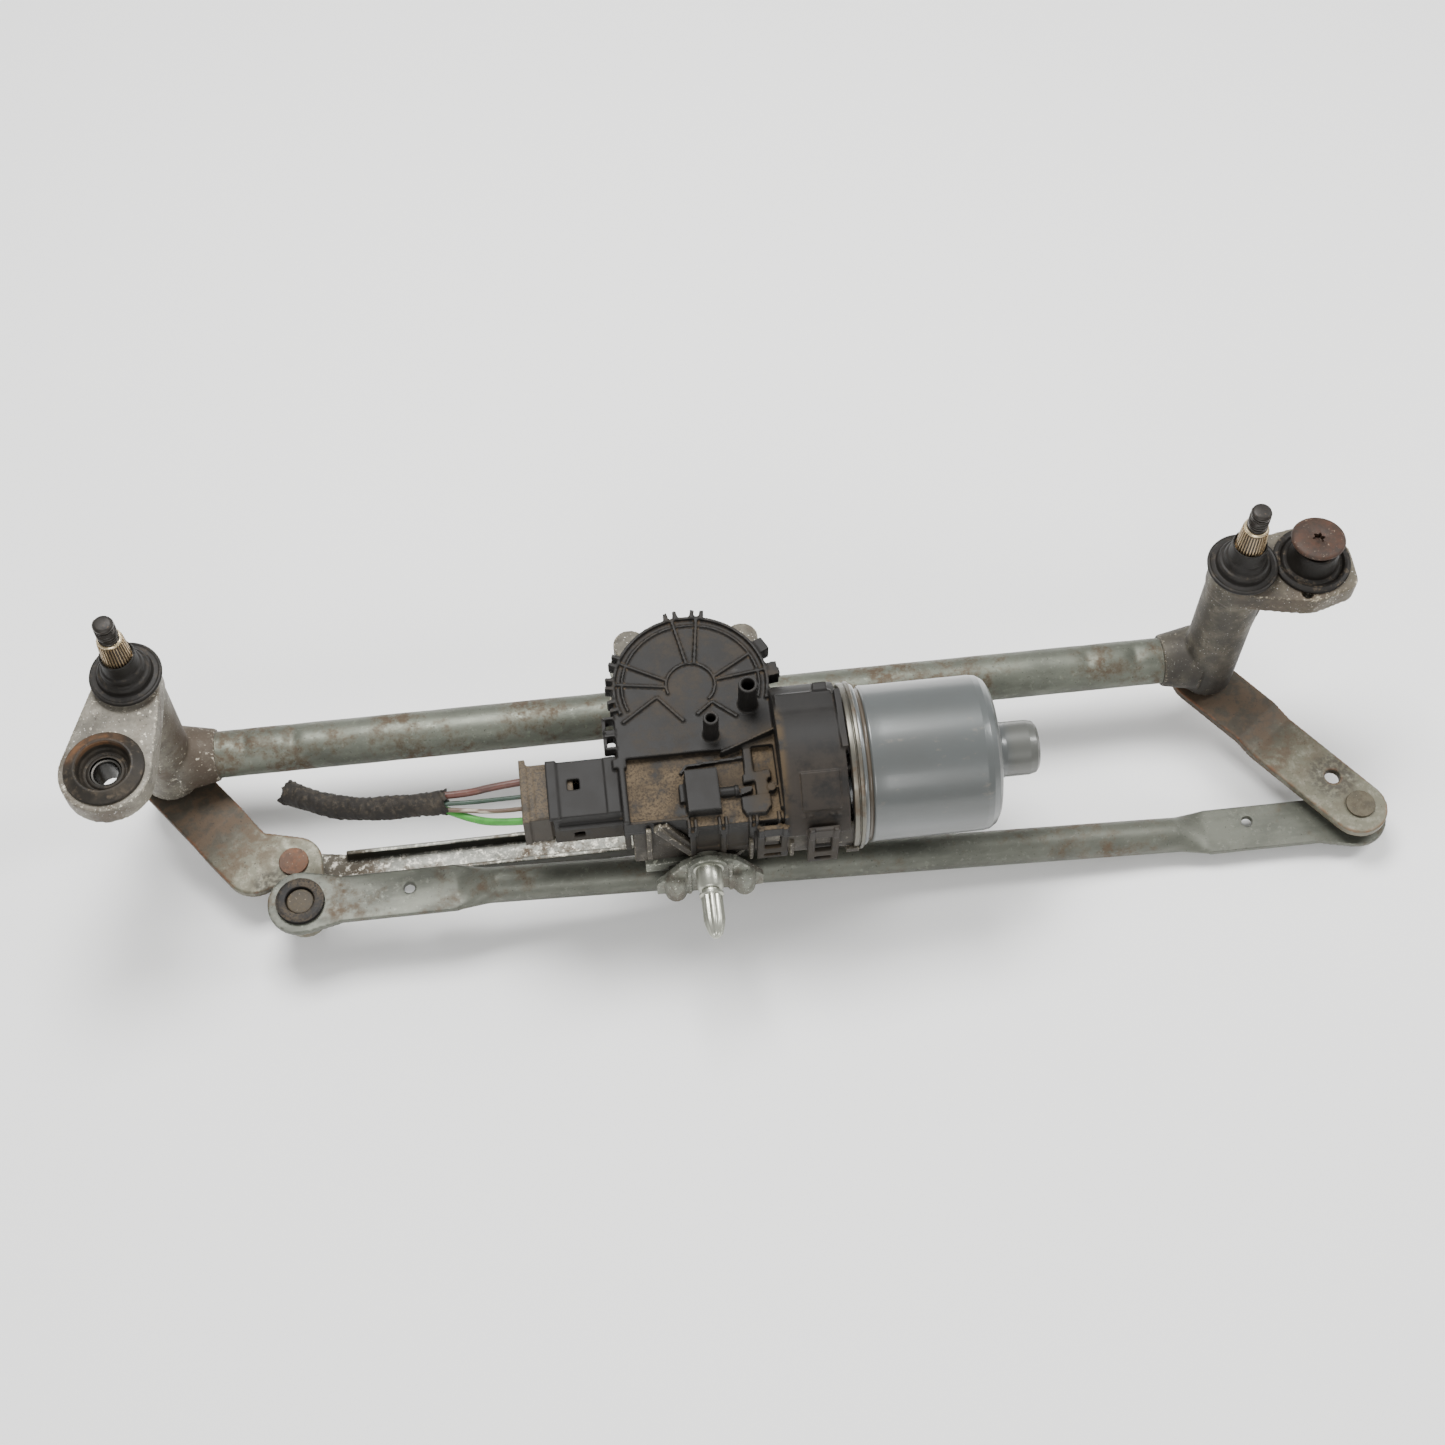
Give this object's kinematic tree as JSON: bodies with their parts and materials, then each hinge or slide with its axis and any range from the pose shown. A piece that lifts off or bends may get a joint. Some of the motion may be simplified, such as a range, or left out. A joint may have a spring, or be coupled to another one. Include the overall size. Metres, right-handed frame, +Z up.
{
  "type": "windshield wiper assembly",
  "caption": "Windshield wiper drive: geared motor with crank and drag link turning threaded spindles in die-cast housings joined by a frame tube, with a long link between the levers.",
  "frame": {"origin": "on the left spindle's axis, at the middle of its threaded end", "axes": "+Z up along the spindles, towards their threads; +X from the left spindle to the right one; +Y to the rear, away from the motor bracket's locating pin"},
  "size_m": [0.5205, 0.1349, 0.1447],
  "materials": {
    "zinc_plated_steel": "dull zinc plating with brown stains",
    "cast_aluminium": "die cast, weathered",
    "rubber": "satin, dusty",
    "machined_steel": "turned, dull",
    "rusty_steel": "rust brown",
    "pressed_steel": "zinc plated, stained",
    "sintered_bronze": "matte sintered",
    "socket_plastic": "moulded acetal",
    "black_plastic": "moulded, dusty",
    "grey_paint": "gloss grey",
    "copper": "bare",
    "carbon": "pressed carbon",
    "magnet": "sintered ferrite",
    "board": "soldered board",
    "wire_jacket": "PVC jacket",
    "cloth_tape": "woven adhesive tape"
  },
  "bodies": {
    "frame": {"frame_tube": "zinc_plated_steel", "left_spindle_housing": "cast_aluminium", "right_spindle_housing": "cast_aluminium", "left_mount_grommet": "rubber", "right_mount_grommet": "rubber", "left_mount_sleeve": "machined_steel", "right_mount_sleeve": "machined_steel", "left_spindle_bushes": "sintered_bronze", "right_spindle_bushes": "sintered_bronze", "right_mount_bolt": "rusty_steel", "output_bush": "sintered_bronze", "brush_holder": "black_plastic", "carbon_brushes": "carbon", "brush_springs": "machined_steel", "field_magnets": "magnet", "motor_can": "grey_paint", "rear_bearing": "machined_steel", "front_bearing": "machined_steel", "gear_housing": "cast_aluminium", "gear_cover": "black_plastic", "cover_seal": "rubber", "circuit_board": "board", "connector_terminals": "copper", "motor_bracket": "cast_aluminium", "locating_pin": "zinc_plated_steel", "motor_mount_screws": "machined_steel", "harness_plug": "black_plastic", "wire_brown_red": "wire_jacket", "wire_dark_green": "wire_jacket", "wire_white_brown": "wire_jacket", "wire_green": "wire_jacket", "harness_loom": "cloth_tape"},
    "left_wiper": {"left_spindle": "machined_steel", "left_dust_cap": "rubber", "left_retaining_ring": "machined_steel", "left_thrust_washers": "machined_steel", "left_arm": "pressed_steel", "left_outer_ball_stud": "machined_steel", "left_inner_ball_stud": "machined_steel"},
    "right_wiper": {"right_spindle": "machined_steel", "right_dust_cap": "rubber", "right_retaining_ring": "machined_steel", "right_thrust_washers": "machined_steel", "right_arm": "pressed_steel", "right_ball_stud": "machined_steel"},
    "long_link": {"long_link": "zinc_plated_steel", "long_link_left_socket": "socket_plastic", "long_link_right_socket": "socket_plastic"},
    "drag_link": {"drag_link": "zinc_plated_steel", "drag_link_socket": "socket_plastic"},
    "output": {"motor_crank": "pressed_steel", "crank_ball_stud": "machined_steel", "crank_socket": "socket_plastic", "crank_nut": "machined_steel", "output_shaft": "machined_steel", "worm_gear": "socket_plastic"},
    "armature": {"armature_shaft": "machined_steel", "armature_core": "machined_steel", "armature_windings": "copper", "commutator": "copper"}
  },
  "joints": [
    {"name": "crank_turn", "type": "hinge", "parent": "frame", "child": "output", "pos_m": [0.2125, -0.017, -0.1175], "axis": [0, 0, -1], "range_deg": [0, 107.5]},
    {"name": "left_arm_turn", "type": "hinge", "parent": "frame", "child": "left_wiper", "pos_m": [0, 0, -0.0715], "axis": [0, 0, -1], "range_deg": [0, 76]},
    {"name": "right_arm_turn", "type": "hinge", "parent": "frame", "child": "right_wiper", "pos_m": [0.43, 0, -0.0715], "axis": [0, 0, -1], "range_deg": [0, 76]},
    {"name": "long_link_turn", "type": "hinge", "parent": "left_wiper", "child": "long_link", "pos_m": [0.05172, -0.06619, -0.1114], "axis": [0, 0, 1], "range_deg": [0, 76]},
    {"name": "drag_link_turn", "type": "hinge", "parent": "left_wiper", "child": "drag_link", "pos_m": [0.04771, -0.04266, -0.1317], "axis": [0, 0, 1], "range_deg": [0, 78]},
    {"name": "armature_spin", "type": "hinge", "parent": "frame", "child": "armature", "pos_m": [0.3, -0.0483, -0.0735], "axis": [1, 0, 0], "continuous": true}
  ],
  "couplings": [
    {"joint": "left_arm_turn", "follows": "crank_turn", "ratio": 0.69981},
    {"joint": "right_arm_turn", "follows": "crank_turn", "ratio": 0.69981},
    {"joint": "long_link_turn", "follows": "crank_turn", "ratio": 0.69981},
    {"joint": "drag_link_turn", "follows": "crank_turn", "ratio": 0.71507},
    {"joint": "armature_spin", "follows": "crank_turn", "ratio": 60}
  ]
}
